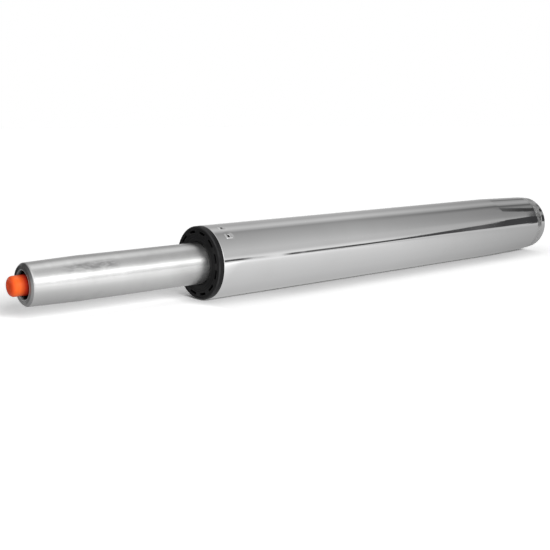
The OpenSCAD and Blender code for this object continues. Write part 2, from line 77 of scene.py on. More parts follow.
lens = bpy.data.cameras.new("camera")
lens.lens = LENS
lens.sensor_width = SENSOR
lens.clip_start = 10 * MM
camera = bpy.data.objects.new("camera", lens)
camera.location = Vector(CAMERA_PLACE) * MM
camera.rotation_euler = (radians(90 - LOOKS_DOWN), 0, radians(LOOKS_ROUND))
bpy.context.collection.objects.link(camera)
bpy.context.scene.camera = camera
bpy.context.scene.view_settings.view_transform = "Standard"
print("camera above the axis, in mm:", round(camera.location.z / MM))

# %% [markdown]
# ## Nodes, wired by name
#
# A material, a floor and a sky are all small networks of nodes. One helper puts a node in a
# network, sets its inputs by name, and wires an input where it is given another node's
# output. The others are built on it: they reckon with numbers, and spread one range over
# another.

# %% Helpers for arithmetic in node networks
def put(tree, kind, inputs=None, **settings):
    """Adds a shader node; an input given as a socket is wired, any other is set."""
    made = tree.nodes.new("ShaderNode" + kind)
    for name, value in settings.items():
        setattr(made, name, value)
    for name, value in (inputs or {}).items():
        if isinstance(value, bpy.types.NodeSocket):
            tree.links.new(value, made.inputs[name])
        else:
            made.inputs[name].default_value = value
    return made


def reckon(tree, action, *values):
    """One step of arithmetic on numbers and sockets."""
    return put(tree, "Math", dict(enumerate(values)), operation=action).outputs[0]


def times(tree, first, *others):
    """The product of numbers and sockets."""
    for other in others:
        first = reckon(tree, "MULTIPLY", first, other)
    return first


def plus(tree, first, *others):
    """The sum of numbers and sockets."""
    for other in others:
        first = reckon(tree, "ADD", first, other)
    return first


def minus(tree, first, second):
    """The difference of two numbers or sockets."""
    return reckon(tree, "SUBTRACT", first, second)


def spread(tree, value, low, high, to_low=0.0, to_high=1.0):
    """Maps a value from one range to another, and holds it inside the second."""
    return put(tree, "MapRange", {"Value": value, "From Min": low, "From Max": high,
                                  "To Min": to_low, "To Max": to_high}).outputs[0]

# %% [markdown]
# Tones that change from place to place are drawn by a short list of points: a ramp takes them
# between 0 and 1, and a curve takes them in the value's own unit.

# %% Helpers for curves and colours in node networks
def ramp(tree, factor, stops):
    """A ramp of greys or colours: stops are (place, grey) or (place, (red, green, blue))."""
    made = put(tree, "ValToRGB", {"Fac": factor})
    marks = made.color_ramp.elements
    while len(marks) < len(stops):
        marks.new(0.5)
    for mark, (place, tone) in zip(marks, stops):
        mark.position = place
        mark.color = (*tone, 1) if isinstance(tone, tuple) else (tone, tone, tone, 1)
    return made.outputs["Color"]


def curve(tree, value, low, high, points):
    """A curve over a value from low to high, straight between its points (value, result)."""
    stops = [((at - low) / (high - low), result) for at, result in points]
    return ramp(tree, spread(tree, value, low, high), stops)


def between(tree, share, first, second):
    """Mixes two numbers."""
    return put(tree, "Mix", {"Factor": share, "A": first, "B": second}).outputs[0]


def blend(tree, share, first, second):
    """Mixes two colours, given as sockets or as (red, green, blue)."""
    first, second = [tone if isinstance(tone, bpy.types.NodeSocket) else (*tone, 1)
                     for tone in (first, second)]
    return put(tree, "Mix", {0: share, 6: first, 7: second}, data_type="RGBA").outputs[2]

# %% [markdown]
# ## The white table
#
# The table is a wide plane under the column, 25 mm below its axis, matt and white, and it
# keeps the cylinder's soft shadow. The plane is moved down in edit mode, so that its
# coordinates stay those of the cylinder.

# %% Make the table
TABLE_HEIGHT = -25.0
TABLE_SIZE = 16000.0

bpy.ops.object.select_all(action="DESELECT")
bpy.ops.mesh.primitive_plane_add(size=TABLE_SIZE * MM, location=(0, 0, 0))
table = bpy.context.object
table.name = "table"
bpy.ops.object.mode_set(mode="EDIT")
bpy.ops.transform.translate(value=(0, 0, TABLE_HEIGHT * MM))
bpy.ops.object.mode_set(mode="OBJECT")
print("table at", TABLE_HEIGHT, "mm")

# %% [markdown]
# ### What the mirrors see of it
#
# Light Path tells a material what kind of ray looks at it, so the table can look different to
# the metal and to the camera. What the chrome mirrors of it is painted light and painted shade:
# a painted shadow keeps it dull close under the cylinder, and painted light makes it brighter
# towards the camera, most of all beside the raised tube; it is painted duller towards the
# column's base end and past the tip. The brightness is drawn by curves over the place on the
# table. The lines on which it stays the same run slanting towards the camera.

# %% Draw the table for the mirrors
FRONT, BACK = -450, 50
SLANT = 0.78

table_finish = bpy.data.materials.new("table_white")
table_finish.use_nodes = True
tree = table_finish.node_tree
tree.nodes.clear()
spot = put(tree, "SeparateXYZ", {0: put(tree, "TexCoord").outputs["Object"]}).outputs
path = put(tree, "LightPath").outputs
x, y = [times(tree, spot[axis], 1 / MM) for axis in "XY"]
along = plus(tree, x, times(tree, reckon(tree, "MINIMUM", y, 0.0), SLANT))

# Painted shadow and painted light for the mirrors: dull close under the cylinder, brighter towards
# the camera.
column_painted_shading = curve(tree, y, FRONT, BACK, [
    (-450, 1.28), (-156, 1.06), (-68, 0.97), (-40, 0.90), (-24, 0.83), (-15, 0.74), (-8, 0.68),
    (30, 0.66)])
tube_painted_shading = curve(tree, y, FRONT, BACK, [
    (-450, 1.95), (-200, 1.90), (-144, 1.82), (-60, 1.54), (-33, 1.18), (-16, 0.97), (-5, 0.82),
    (7, 0.66), (46, 0.50)])
# Painted dimming for the mirrors, towards the column's base end.
lengthwise = curve(tree, along, -360, 40, [
    (-360, 1.31), (-200, 1.24), (-130, 1.09), (-88, 0.98), (-28, 0.86), (40, 0.78)])
column_painted_shading = times(tree, column_painted_shading, lengthwise)
tube_painted_shading = times(tree, tube_painted_shading, spread(tree, x, -470, -410, 1.0, 1.15))
mirrored = between(tree, spread(tree, along, -374, -398), column_painted_shading, tube_painted_shading)
# Painted dark past the tip, for the mirrors.
past_tip = times(tree, spread(tree, x, -512, -550, 0.0, 0.82), spread(tree, y, 0, 40))
mirrored = times(tree, mirrored, minus(tree, 1.0, past_tip))

# %% [markdown]
# Chrome also throws what it mirrors on the table, as stray glints that no soft studio shows.
# A ray that has met a matt surface before the mirror is such a glint, and it sees less.

# %% Dim the glints
MIRRORED_LEVEL = 0.65
GLINT_LIGHT = 0.2

dimmed = spread(tree, path["Diffuse Depth"], 0.0, 1.0, 1.0, GLINT_LIGHT)
mirrored = times(tree, mirrored, dimmed, MIRRORED_LEVEL)
print("table drawn for the mirrors")

# %% [markdown]
# ### What the camera sees of it
#
# To be as white as the page in the picture, the table is shown to the camera with a stronger
# colour than the one that lights the cylinder. In front of the raised tube painted light makes
# it whiter still, where the shadow would be too wide, and close under the column a painted
# shadow makes it a little greyer, where the shadow would be too weak. The mirrored brightness
# is given for the most part as plain light, so that the shadow hardly changes it.

# %% Finish the table
TABLE_WHITE = 0.8
SHOWN_WHITE = 1.55
MIRRORED_FLAT = 0.9

# Painted light in front of the raised tube, and a painted shadow close under the column.
painted_light_by_tube = times(tree, spread(tree, y, 42, 0, 0.0, 0.5), spread(tree, x, -372, -384))
painted_shadow_by_column = times(tree, spread(tree, y, -38, -22), spread(tree, y, 60, 30, 0.0, 0.13),
               spread(tree, x, -345, -300), spread(tree, x, -12, -60))
shown = times(tree, minus(tree, plus(tree, 1.0, painted_light_by_tube), painted_shadow_by_column), SHOWN_WHITE)
seen = reckon(tree, "MAXIMUM", path["Is Camera Ray"], path["Is Transmission Ray"])
white = between(tree, seen, TABLE_WHITE, shown)
white = between(tree, path["Is Glossy Ray"], white, mirrored)
matt = put(tree, "BsdfDiffuse", {"Color": white}).outputs[0]
plain = put(tree, "Emission", {"Color": mirrored}).outputs[0]
plain_share = times(tree, path["Is Glossy Ray"], MIRRORED_FLAT)
mixed = put(tree, "MixShader", {0: plain_share, 1: matt, 2: plain}).outputs[0]
put(tree, "OutputMaterial", {"Surface": mixed})
table.data.materials.append(table_finish)
print("table finished:", len(tree.nodes), "nodes")

# %% [markdown]
# ## The studio round it
#
# Chrome has no colour of its own: it shows the room. So the room is drawn with care in the
# world's nodes, and only mirror rays see it. It is made of long panels that lie along the
# cylinder, and so it is drawn by two numbers: how many degrees a ray has turned round the
# cylinder's axis, from the camera's side (0) over the top (90) to the far side (180), and how
# much it heads along the axis, up to 1 towards the base end. Low down on the camera's side
# there is a white wall with a thin dark ledge along its foot. Above it is a grey ceiling,
# with one bright strip beyond the top. Past the column's base end the room is darker, with a
# dark doorway. Four curves draw the brightness all round, each for other headings, and the
# room blends from one into the next. Blender would look for lamps in the world's picture,
# which doesn't suit a world that looks different to each kind of ray, so that is switched
# off.

# %% Draw the studio
world = bpy.data.worlds.new("studio")
bpy.context.scene.world = world
world.use_nodes = True
world.cycles.sampling_method = "NONE"
tree = world.node_tree
tree.nodes.clear()
way = put(tree, "SeparateXYZ", {0: put(tree, "TexCoord").outputs["Generated"]}).outputs
heading = way["X"]
turned = reckon(tree, "ARCTAN2", way["Z"], times(tree, way["Y"], -1.0))
turned = reckon(tree, "DEGREES", turned)


def panels(points):
    """The brightness all round the cylinder, drawn by points (degrees, brightness)."""
    return curve(tree, turned, -180, 180, points)


middle_room = panels([
    (-20, 0.85), (0, 0.95), (10, 0.92), (19, 0.64), (34, 0.64), (60, 0.52), (90, 0.41),
    (102, 0.35), (111, 0.54), (119, 0.68), (126, 0.64), (140, 0.48), (165, 0.50), (178, 0.90)])
far_room = panels([
    (-20, 0.60), (0, 0.58), (24, 0.50), (32, 0.48), (42, 0.34), (60, 0.30), (84, 0.29),
    (90, 0.22), (97, 0.13), (105, 0.36), (116, 0.47), (130, 0.36), (142, 0.33), (165, 0.42),
    (178, 0.70)])
near_room = panels([
    (-20, 1.50), (2, 1.60), (14, 2.10), (20, 3.40), (30, 3.20), (36, 1.95), (48, 0.94),
    (64, 0.60), (80, 0.68), (98, 1.30), (115, 1.05), (135, 0.50), (165, 0.55), (178, 0.90)])
left_room = panels([
    (-20, 0.80), (20, 1.20), (60, 1.15), (100, 0.60), (145, 0.20), (165, 0.35), (177, 1.00)])
room = blend(tree, spread(tree, heading, 0.70, 0.81), middle_room, far_room)
room = blend(tree, spread(tree, heading, 0.585, 0.50), room, near_room)
room = blend(tree, spread(tree, heading, 0.30, 0.10), room, left_room)
print("room drawn:", len(tree.nodes), "nodes")

# %% [markdown]
# The dark ledge is thin and broken where things stand on it, and towards the base end it
# grows into the doorway: its upper edge climbs with the ray's heading, and so does its foot.

# %% Draw the ledge and the doorway
LEDGE_TONE = (0.042, 0.042, 0.044)

ledge_parts = curve(tree, heading, 0.55, 0.85, [
    (0.584, 0.0), (0.590, 0.95), (0.608, 0.95), (0.618, 0.05), (0.623, 0.40), (0.629, 0.0),
    (0.642, 0.0), (0.648, 0.95), (0.655, 0.95), (0.658, 0.6), (0.662, 0.9), (0.684, 0.9),
    (0.698, 0.97), (0.775, 0.95), (0.792, 0.84), (0.806, 0.96)])
door_top = curve(tree, heading, 0.70, 0.86, [
    (0.7096, 8.0), (0.7304, 8.8), (0.7496, 11.4), (0.7704, 15.6), (0.7848, 19.5), (0.7960, 22.0),
    (0.8000, 23.2), (0.8056, 27.5), (0.8360, 30.5), (0.8552, 36.0)])
door_top = plus(tree, door_top, spread(tree, heading, 0.855, 0.905, 0.0, 4.0))
foot = spread(tree, heading, 0.70, 0.77, 0.3, 3.2)
height = minus(tree, turned, spread(tree, heading, 0.600, 0.650, 2.5, 0.0))
above_foot = spread(tree, minus(tree, height, foot), 0.0, 1.5)
below_top = spread(tree, minus(tree, door_top, height), 0.0, 1.8)
room = blend(tree, times(tree, above_foot, below_top, ledge_parts), room, LEDGE_TONE)
print("ledge and doorway drawn:", len(tree.nodes), "nodes")

# %% [markdown]
# Two dark beams cross the ceiling at the far end, and only the tapered part of the column
# turns its reflections that far. The first one leaves the edge of the ceiling, drops and
# grows thicker, and the second is a faint shelf beyond the top. Behind them stands a narrow
# dark end wall, and past it, where only bent edges look, the room is bright.

# %% Draw the beams and the end wall
BEAM_TONE = (0.055, 0.055, 0.055)
WALL_TONE = (0.05, 0.05, 0.052)
SHELF_PLACE = 141

beam_place = minus(tree, spread(tree, heading, 0.7985, 0.8045, 94.0, 82.4),
                   spread(tree, heading, 0.825, 0.850, 0.0, 18.0))
beam_half = plus(tree, spread(tree, heading, 0.7985, 0.8045, 0.0, 5.8),
                 spread(tree, heading, 0.8045, 0.8400, 0.0, 3.2))
off_beam = reckon(tree, "ABSOLUTE", minus(tree, turned, beam_place))
beam = times(tree, spread(tree, minus(tree, beam_half, off_beam), -1.0, 2.0),
             spread(tree, heading, 0.7985, 0.843, 0.08, 1.0))
off_shelf = reckon(tree, "ABSOLUTE", minus(tree, turned, SHELF_PLACE))
shelf = times(tree, spread(tree, off_shelf, 8, 3), spread(tree, heading, 0.795, 0.810, 0.0, 0.5))
room = blend(tree, reckon(tree, "MAXIMUM", beam, shelf), room, BEAM_TONE)
end_wall = times(tree, spread(tree, heading, 0.8490, 0.8503),
                 spread(tree, heading, 0.8620, 0.8530), spread(tree, turned, 92, 78))
room = blend(tree, end_wall, room, WALL_TONE)
room = blend(tree, spread(tree, heading, 0.925, 0.955), room, (0.45, 0.45, 0.45))
room = blend(tree, spread(tree, heading, 0.975, 0.990), room, (1.2, 1.2, 1.2))
print("beams and end wall drawn:", len(tree.nodes), "nodes")

# %% [markdown]
# The camera sees plain white. The matt surfaces are lit from a low white wall on the camera's
# side and from a wide soft box over the cylinder, with a weak fill from everywhere else. Both
# are drawn by the turn round the axis again. The mirrors have the room, and a ray that is a
# glint on its way to the table has less of it.

# %% Light the room
path = put(tree, "LightPath").outputs
soft_box = panels([
    (0, 0.75), (12, 0.75), (25, 0.25), (55, 0.26), (78, 0.42), (96, 0.64), (112, 0.64),
    (130, 0.20), (178, 0.12)])
sky = blend(tree, path["Is Glossy Ray"], soft_box, room)
seen = reckon(tree, "MAXIMUM", path["Is Camera Ray"], path["Is Transmission Ray"])
sky = blend(tree, seen, sky, (1.0, 1.0, 1.0))
dimmed = spread(tree, path["Diffuse Depth"], 0.0, 1.0, 1.0, GLINT_LIGHT)
strength = between(tree, path["Is Glossy Ray"], 1.0, dimmed)
backdrop = put(tree, "Background", {"Color": sky, "Strength": strength})
put(tree, "OutputWorld", {"Surface": backdrop.outputs[0]})
print("studio lit:", len(tree.nodes), "nodes")

# %% [markdown]
# One large soft lamp stands on the camera's side, 22 degrees up and nearly square to the
# cylinder. It lights the side that the camera sees and lays its shadow behind, where it shows
# under the raised tube. It is a sun lamp, whose light is as strong over the whole table, and
# it stays out of the mirrors, which have the room's own panels.

# %% Hang the lamp
LAMP_WAY = (-0.15, -0.915, 0.375)
LAMP_STRENGTH = 2.45
LAMP_WIDTH = 24

sun = bpy.data.lights.new("soft_lamp", "SUN")
sun.energy = LAMP_STRENGTH
sun.angle = radians(LAMP_WIDTH)
lamp = bpy.data.objects.new("soft_lamp", sun)
lamp.rotation_euler = Vector(LAMP_WAY).to_track_quat("Z", "Y").to_euler()
lamp.visible_glossy = False
bpy.context.collection.objects.link(lamp)
print("lamp hung,", LAMP_WIDTH, "degrees wide")

# %% [markdown]
# ## Turned pieces
#
# Nearly every piece of a gas spring is turned, drawn or moulded round one axis, so it is
# modelled as a lathe would cut it: half of its section is drawn as a line, and the line is
# spun about the axis. A corner of the line is given as (height, radius, rounding), and a
# helper replaces it by a small arc, because no real edge is sharp and it is the rounded edges
# that catch the light.

# %% Round the corners of a section
ARC_STEP = 13


def eased(corners, closed=True):
    """The points of a line whose corners (s, r, rounding) are replaced by arcs."""
    points = []
    count = len(corners)
    for i, corner in enumerate(corners):
        s, r = corner[0], corner[1]
        rounding = corner[2] if len(corner) > 2 else 0
        if not rounding or (not closed and i in (0, count - 1)):
            points.append((s, r))
            continue
        before, after = corners[i - 1], corners[(i + 1) % count]
        first = (before[0] - s, before[1] - r)
        second = (after[0] - s, after[1] - r)
        far1, far2 = hypot(*first), hypot(*second)
        first = (first[0] / far1, first[1] / far1)
        second = (second[0] / far2, second[1] / far2)
        half = (pi - abs(atan2(first[0] * second[1] - first[1] * second[0],
                               first[0] * second[0] + first[1] * second[1]))) / 2
        reach = rounding * tan(half)
        middle = ((first[0] + second[0]) / 2, (first[1] + second[1]) / 2)
        size = hypot(*middle)
        out = rounding / cos(half)
        centre = (s + middle[0] / size * out, r + middle[1] / size * out)
        start = atan2(r + first[1] * reach - centre[1], s + first[0] * reach - centre[0])
        end = atan2(r + second[1] * reach - centre[1], s + second[0] * reach - centre[0])
        sweep = (end - start + pi) % (2 * pi) - pi
        steps = max(3, round(abs(degrees(sweep)) / ARC_STEP))
        for k in range(steps + 1):
            turn = start + sweep * k / steps
            points.append((centre[0] + rounding * cos(turn), centre[1] + rounding * sin(turn)))
    return points

# %% [markdown]
# The line starts as a plane merged to one point, and every next point is pulled out of the
# last one by an extrusion. After the spin the doubled points are merged and all faces are
# turned outwards.

# %% Spin a section
WELD = 0.002


def hands_free():
    """Leaves edit mode and deselects everything."""
    if bpy.context.mode != "OBJECT":
        bpy.ops.object.mode_set(mode="OBJECT")
    bpy.ops.object.select_all(action="DESELECT")


def pull(x, y, z):
    """Extrudes what is selected, by lengths in millimetres."""
    bpy.ops.mesh.extrude_region_move(
        TRANSFORM_OT_translate={"value": (x * MM, y * MM, z * MM)})


def start_point(name, s, r):
    """Starts a piece as one selected point over the axis, in edit mode."""
    hands_free()
    bpy.ops.mesh.primitive_plane_add(size=MM, location=(-s * MM, 0, r * MM))
    piece = bpy.context.object
    piece.name = piece.data.name = name
    bpy.ops.object.transform_apply(location=True, rotation=False, scale=False)
    bpy.ops.object.mode_set(mode="EDIT")
    bpy.ops.mesh.select_mode(type="VERT")
    bpy.ops.mesh.merge(type="CENTER")
    return piece


def spin(name, corners, steps, closed=True):
    """Draws a half section point by point and spins it about the X axis."""
    points = eased(corners, closed)
    s, r = points[0]
    piece = start_point(name, s, r)
    for next_s, next_r in points[1:] + (points[:1] if closed else []):
        pull(s - next_s, 0, next_r - r)
        s, r = next_s, next_r
    bpy.ops.mesh.select_all(action="SELECT")
    bpy.ops.mesh.remove_doubles(threshold=WELD * MM)
    bpy.ops.mesh.spin(steps=steps, angle=2 * pi, center=(0, 0, 0), axis=(1, 0, 0))
    bpy.ops.mesh.select_all(action="SELECT")
    bpy.ops.mesh.remove_doubles(threshold=WELD * MM)
    bpy.ops.mesh.normals_make_consistent(inside=False)
    bpy.ops.object.mode_set(mode="OBJECT")
    print(name, "spun:", len(points), "points in its section,", len(piece.data.polygons), "faces")
    return piece

# %% [markdown]
# Faces, edges and points are selected by their place: how high they lie, how far from the
# axis, and at which angle from the top.

# %% Select by place, and close up
def place(spot):
    """(height s, radius r, angle from the top in degrees) of a point, in millimetres."""
    return -spot.x / MM, hypot(spot.y, spot.z) / MM, degrees(atan2(spot.y, spot.z))


def away(angle, middle):
    """How far an angle is from another, in degrees, whichever way round."""
    return abs((angle - middle + 180) % 360 - 180)


def pick(piece, test, kind="FACE"):
    """Selects in edit mode the faces, edges or points whose middle passes the test."""
    bpy.context.view_layer.objects.active = piece
    bpy.ops.object.mode_set(mode="EDIT")
    bpy.ops.mesh.select_mode(type=kind)
    bpy.ops.mesh.select_all(action="DESELECT")
    shape = bmesh.from_edit_mesh(piece.data)
    parts = {"VERT": shape.verts, "EDGE": shape.edges, "FACE": shape.faces}[kind]
    found = 0
    for part in parts:
        if kind == "VERT":
            spot = part.co
        elif kind == "EDGE":
            spot = (part.verts[0].co + part.verts[1].co) / 2
        else:
            spot = part.calc_center_median()
        if test(*place(spot)):
            part.select_set(True)
            found += 1
    bmesh.update_edit_mesh(piece.data)
    return found


def close_up(piece, sharp=35):
    """Turns all faces outwards and smooths the piece, but not over its sharp edges."""
    hands_free()
    piece.select_set(True)
    bpy.context.view_layer.objects.active = piece
    bpy.ops.object.mode_set(mode="EDIT")
    bpy.ops.mesh.select_all(action="SELECT")
    bpy.ops.mesh.normals_make_consistent(inside=False)
    bpy.ops.object.mode_set(mode="OBJECT")
    bpy.ops.object.shade_smooth_by_angle(angle=radians(sharp))
    print(piece.name, "closed up:", len(piece.data.polygons), "faces")

# %% [markdown]
# What repeats round the axis is modelled once, at the top, and copied. Each copy has its own
# mesh, and its turn is applied, so that its object stays unturned.

# %% Copy round the axis, and join
def turned_copies(piece, angles):
    """Replaces a piece by copies of it, turned about the X axis by angles in degrees."""
    copies = []
    for angle in angles:
        hands_free()
        copy = piece.copy()
        copy.data = piece.data.copy()
        bpy.context.collection.objects.link(copy)
        copy.select_set(True)
        bpy.context.view_layer.objects.active = copy
        copy.rotation_euler = (radians(angle), 0, 0)
        bpy.ops.object.transform_apply(location=False, rotation=True, scale=False)
        copies.append(copy)
    bpy.data.objects.remove(piece)
    return copies


def join_to(piece, others):
    """Joins other pieces to a piece."""
    hands_free()
    for other in others:
        other.select_set(True)
    piece.select_set(True)
    bpy.context.view_layer.objects.active = piece
    bpy.ops.object.join()

# %% [markdown]
# ## The column's tube
#
# The real tube is drawn steel, 50 mm across, tapered at its base end to jam in the hub of the
# chair's base, swaged in at the very end over the base plate, then polished and chromed. A
# mirror shows every kink of its mesh, so the section has extra points close under the rim and
# on both sides of each change of slope, and the swaged nose is drawn as a fine curve down to
# the crease of the lip. Round the stakes the section has a ring every half millimetre,
# because the tube is pierced and dented there.

# %% Draw the column's section
COLUMN_R = 25.0
WALL = 2.0
RIM = 366.0
TAPER = tan(radians(1.4378))
TAPER_TOP = 62.0
KINK = 0.003
NOSE_TOP = 13.0
NOSE_DROP = 1.0
CREASE_TOP, CREASE_FOOT = 6.4, 5.2
CREASE = 0.12
LIP_SLOPE = 0.04
LIP_R = 20.669
PLATE_SEAT, PLATE_SEAT_R = 5.0, 21.569
STAKE_LOW, STAKE_HIGH = 355.0, 357.0


def column_radius(s):
    """Outside radius of the column at a height: straight, tapered, then the nose's curve."""
    radius = COLUMN_R - max(0.0, TAPER_TOP - s) * TAPER
    if s < NOSE_TOP:
        part = 1 - max(s, CREASE_TOP) / NOSE_TOP
        radius -= NOSE_DROP * part * part + max(0.0, CREASE_TOP - s) * LIP_SLOPE
    if s < CREASE_TOP:
        step = min(1.0, (CREASE_TOP - s) / (CREASE_TOP - CREASE_FOOT))
        radius -= CREASE * step * step * (3 - 2 * step)
    return radius


rim_rings = [365.7, 364.8, 363.5]
stake_rings = [361.5 - 0.5 * k for k in range(23)]
shaft_rings = [349.0, 200.0, 70.0, 66.0, 64.0, 63.0]
taper_rings = [61.5, 60.5, 58.0, 54.0, 40.0, 26.0, 18.0, 15.0, 14.0]
nose_rings = [13.0 - 0.5 * k for k in range(13)]
crease_rings = [6.625 - 0.125 * k for k in range(14)]
lip_rings = [4.4, 3.6, 3.0, 2.0, 1.2]
outside = [(RIM, COLUMN_R, 0.2)]
outside += [(s, COLUMN_R) for s in rim_rings + stake_rings + shaft_rings]
outside += [(TAPER_TOP + 0.2, COLUMN_R - KINK)]
outside += [(s, column_radius(s)) for s in taper_rings + nose_rings + crease_rings + lip_rings]
inside = [(0.0, column_radius(0), 0.8), (0.0, LIP_R, 0.5), (PLATE_SEAT, LIP_R),
          (PLATE_SEAT, PLATE_SEAT_R)]
inside += [(s, COLUMN_R - WALL) for s in (TAPER_TOP, STAKE_LOW, STAKE_HIGH)]
inside += [(RIM, COLUMN_R - WALL, 0.3)]
column = spin("column_tube", outside + inside, 360)

# %% [markdown]
# ### Stakes
#
# The plastic sleeve is held by two pairs of stakes, punched through the tube near its mouth.
# A punch leaves a small window, with a tongue of metal bent in from the window's upper edge.
# The window is cut where lines of the mesh already run: the faces of both walls are deleted,
# and the two open loops are bridged.

# %% Pierce the windows
STAKE_ANGLES = (-19, -41, 161, 139)
STAKE_HALF = 3


def at_stake(middle, s, angle, margin=0.0):
    """Whether a place is inside one stake's window."""
    return (STAKE_LOW - margin < s < STAKE_HIGH + margin
            and away(angle, middle) < STAKE_HALF + margin)


for middle in STAKE_ANGLES:
    cut = pick(column, lambda s, r, angle: at_stake(middle, s, angle))
    bpy.ops.mesh.delete(type="FACE")
    bpy.ops.mesh.select_mode(type="EDGE")
    bpy.ops.mesh.select_non_manifold(extend=False)
    bpy.ops.mesh.bridge_edge_loops()
    print("window at", middle, "degrees:", cut, "faces cut")

# %% [markdown]
# The rim of a window is bevelled. The metal round it is drawn in a little, which bends the
# reflections there: a soft pull with proportional editing makes that dent. The punch also
# raises a steep burr on two sides of the window, and one punch of each pair was blunter than
# the other and raised more.

# %% Bevel the windows, dent the metal round them and raise the burr
SLACK = 0.02
BEVEL = 0.40
DENT, DENT_REACH = 0.08, 3.5
BURRS = (0.15, 0.60, 0.15, 0.60)


def on_rim(middle, s, r, angle):
    """Whether an edge or point lies on the outer rim of one stake's window."""
    inside_it = at_stake(middle, s, angle, SLACK)
    well_inside = at_stake(middle, s, angle, -SLACK)
    return r > COLUMN_R - SLACK and inside_it and not well_inside


def burr_here(middle, s, r, angle):
    """Whether a point is on the burr, close by a window on its upper and one other side."""
    near_it = at_stake(middle, s, angle, 1.2) and not at_stake(middle, s, angle, 0.25)
    turn = (angle - middle + 180) % 360 - 180
    return near_it and r > COLUMN_R - 0.5 and (s > STAKE_HIGH or turn < -STAKE_HALF)


pick(column, lambda s, r, angle: any(on_rim(m, s, r, angle) for m in STAKE_ANGLES), "EDGE")
bpy.ops.mesh.bevel(offset=BEVEL * MM, segments=4, affect="EDGES")
for middle, burr in zip(STAKE_ANGLES, BURRS):
    outwards = Vector((0, sin(radians(middle)), cos(radians(middle)))) * MM
    pick(column, lambda s, r, angle: at_stake(middle, s, angle, 0.3) and r > COLUMN_R - 0.3,
         "VERT")
    bpy.ops.transform.translate(
        value=outwards * -DENT, use_proportional_edit=True, proportional_size=DENT_REACH * MM,
        proportional_edit_falloff="SMOOTH", use_proportional_connected=True)
    pick(column, lambda s, r, angle: burr_here(middle, s, r, angle), "VERT")
    bpy.ops.transform.translate(value=outwards * burr)
hands_free()
print("windows bevelled and dented:", len(column.data.polygons), "faces")

# %% [markdown]
# The tongue is a strip that starts in the tube's wall at the window's upper edge and curls
# down into the sleeve's groove, narrower towards its end. One edge is extruded along the
# curl, the strip is given the thickness of thinned metal, its edges are bevelled, and it is
# copied to the four windows and joined to the tube.

# %% Bend the tongues
CURL = ((358.0, 24.2, 1.2), (357.3, 24.4, 1.2), (356.8, 24.2, 1.2), (356.3, 23.75, 1.15),
        (355.9, 23.2, 1.1), (355.7, 22.5, 0.95), (355.6, 21.9, 0.75))
TONGUE_T = 0.8
TONGUE_EDGE = 0.12

s, r, half = CURL[0]
tongue = start_point("stake_tongue", s, r)
bpy.ops.transform.translate(value=(0, -half * MM, 0))
pull(0, 2 * half, 0)
bpy.ops.mesh.select_all(action="SELECT")
for next_s, next_r, next_half in CURL[1:]:
    pull(s - next_s, 0, next_r - r)
    bpy.ops.transform.resize(value=(1, next_half / half, 1))
    s, r, half = next_s, next_r, next_half
bpy.ops.object.mode_set(mode="OBJECT")
thick = tongue.modifiers.new("thickness", "SOLIDIFY")
thick.thickness = TONGUE_T * MM
thick.offset = 0
bpy.ops.object.modifier_apply(modifier=thick.name)
soft = tongue.modifiers.new("soft_edges", "BEVEL")
soft.width = TONGUE_EDGE * MM
soft.segments = 2
bpy.ops.object.modifier_apply(modifier=soft.name)
join_to(column, turned_copies(tongue, [-middle for middle in STAKE_ANGLES]))
close_up(column)

# %% [markdown]
# ## The guide sleeve
#
# The sleeve is one moulding of hard black plastic: a flange on the tube's rim, a collar with
# a groove for the stakes, a bearing tube with a land at each end, and twelve fins that centre
# it in the column. Only the flange shows, and it has a ring of narrow slots that keep the
# moulding from sinking, shallow furrows beside them, and a rounded edge. The body is spun,
# with one strip of its face exactly as wide as a slot.

# %% Draw the sleeve's section
FLANGE_TOP = 370.0
FLANGE_R = 24.9
BORE = 14.05
RELIEF = 14.55
SLEEVE_WALL = 17.15
FIT = 22.97
SLOT_IN, SLOT_OUT = 20.25, 21.95
FURROW = 0.25
GROOVE_LOW, GROOVE_HIGH, GROOVE_R = 353.7, 358.3, 21.27

face = [(FLANGE_TOP, FLANGE_R, 1.2), (FLANGE_TOP, 23.35, 0.12), (FLANGE_TOP - 0.3, 23.1, 0.1),
        (FLANGE_TOP - 0.3, 22.8, 0.1), (FLANGE_TOP, 22.55, 0.12), (FLANGE_TOP, SLOT_OUT),
        (FLANGE_TOP, SLOT_IN)]
for outer in (19.4, 17.9):
    face += [(FLANGE_TOP, outer, 0.08), (FLANGE_TOP - FURROW, outer - 0.1, 0.06),
             (FLANGE_TOP - FURROW, outer - 0.65, 0.06), (FLANGE_TOP, outer - 0.75, 0.08)]
face += [(FLANGE_TOP, 15.05, 0.25), (FLANGE_TOP - 1, BORE, 0.25)]
bore = [(346, BORE), (346, RELIEF), (294, RELIEF), (294, BORE), (270.5, BORE), (270, RELIEF)]
back = [(270, 21.97), (272, FIT), (274, FIT), (274, SLEEVE_WALL), (310, SLEEVE_WALL), (310, FIT),
        (314, FIT), (314, SLEEVE_WALL), (350, SLEEVE_WALL), (350, FIT), (GROOVE_LOW, FIT),
        (GROOVE_LOW, GROOVE_R), (GROOVE_HIGH, GROOVE_R), (GROOVE_HIGH, FIT), (RIM, FIT),
        (RIM, FLANGE_R, 0.25)]
sleeve = spin("guide_sleeve_moulding", face + bore + back, 288)

# %% [markdown]
# The slots are pushed in from that strip: its faces are selected in twelve groups, extruded
# 7 mm down, and the rims of the pockets are bevelled.

# %% Sink the slots
SLOT_COUNT = 12
SLOT_HALF = 8.75
SLOT_DEPTH = 7.0
SLOT_EDGE = 0.14


def in_slot(angle, margin=0.0):
    """Whether an angle falls in one of the slots: the first is half a pitch from the top."""
    pitch = 360 / SLOT_COUNT
    return abs(angle % pitch - pitch / 2) < SLOT_HALF + margin


def on_slot(s, r, angle):
    """Whether a face of the flange lies where a slot goes in."""
    return s > FLANGE_TOP - 0.01 and SLOT_IN < r < SLOT_OUT and in_slot(angle)


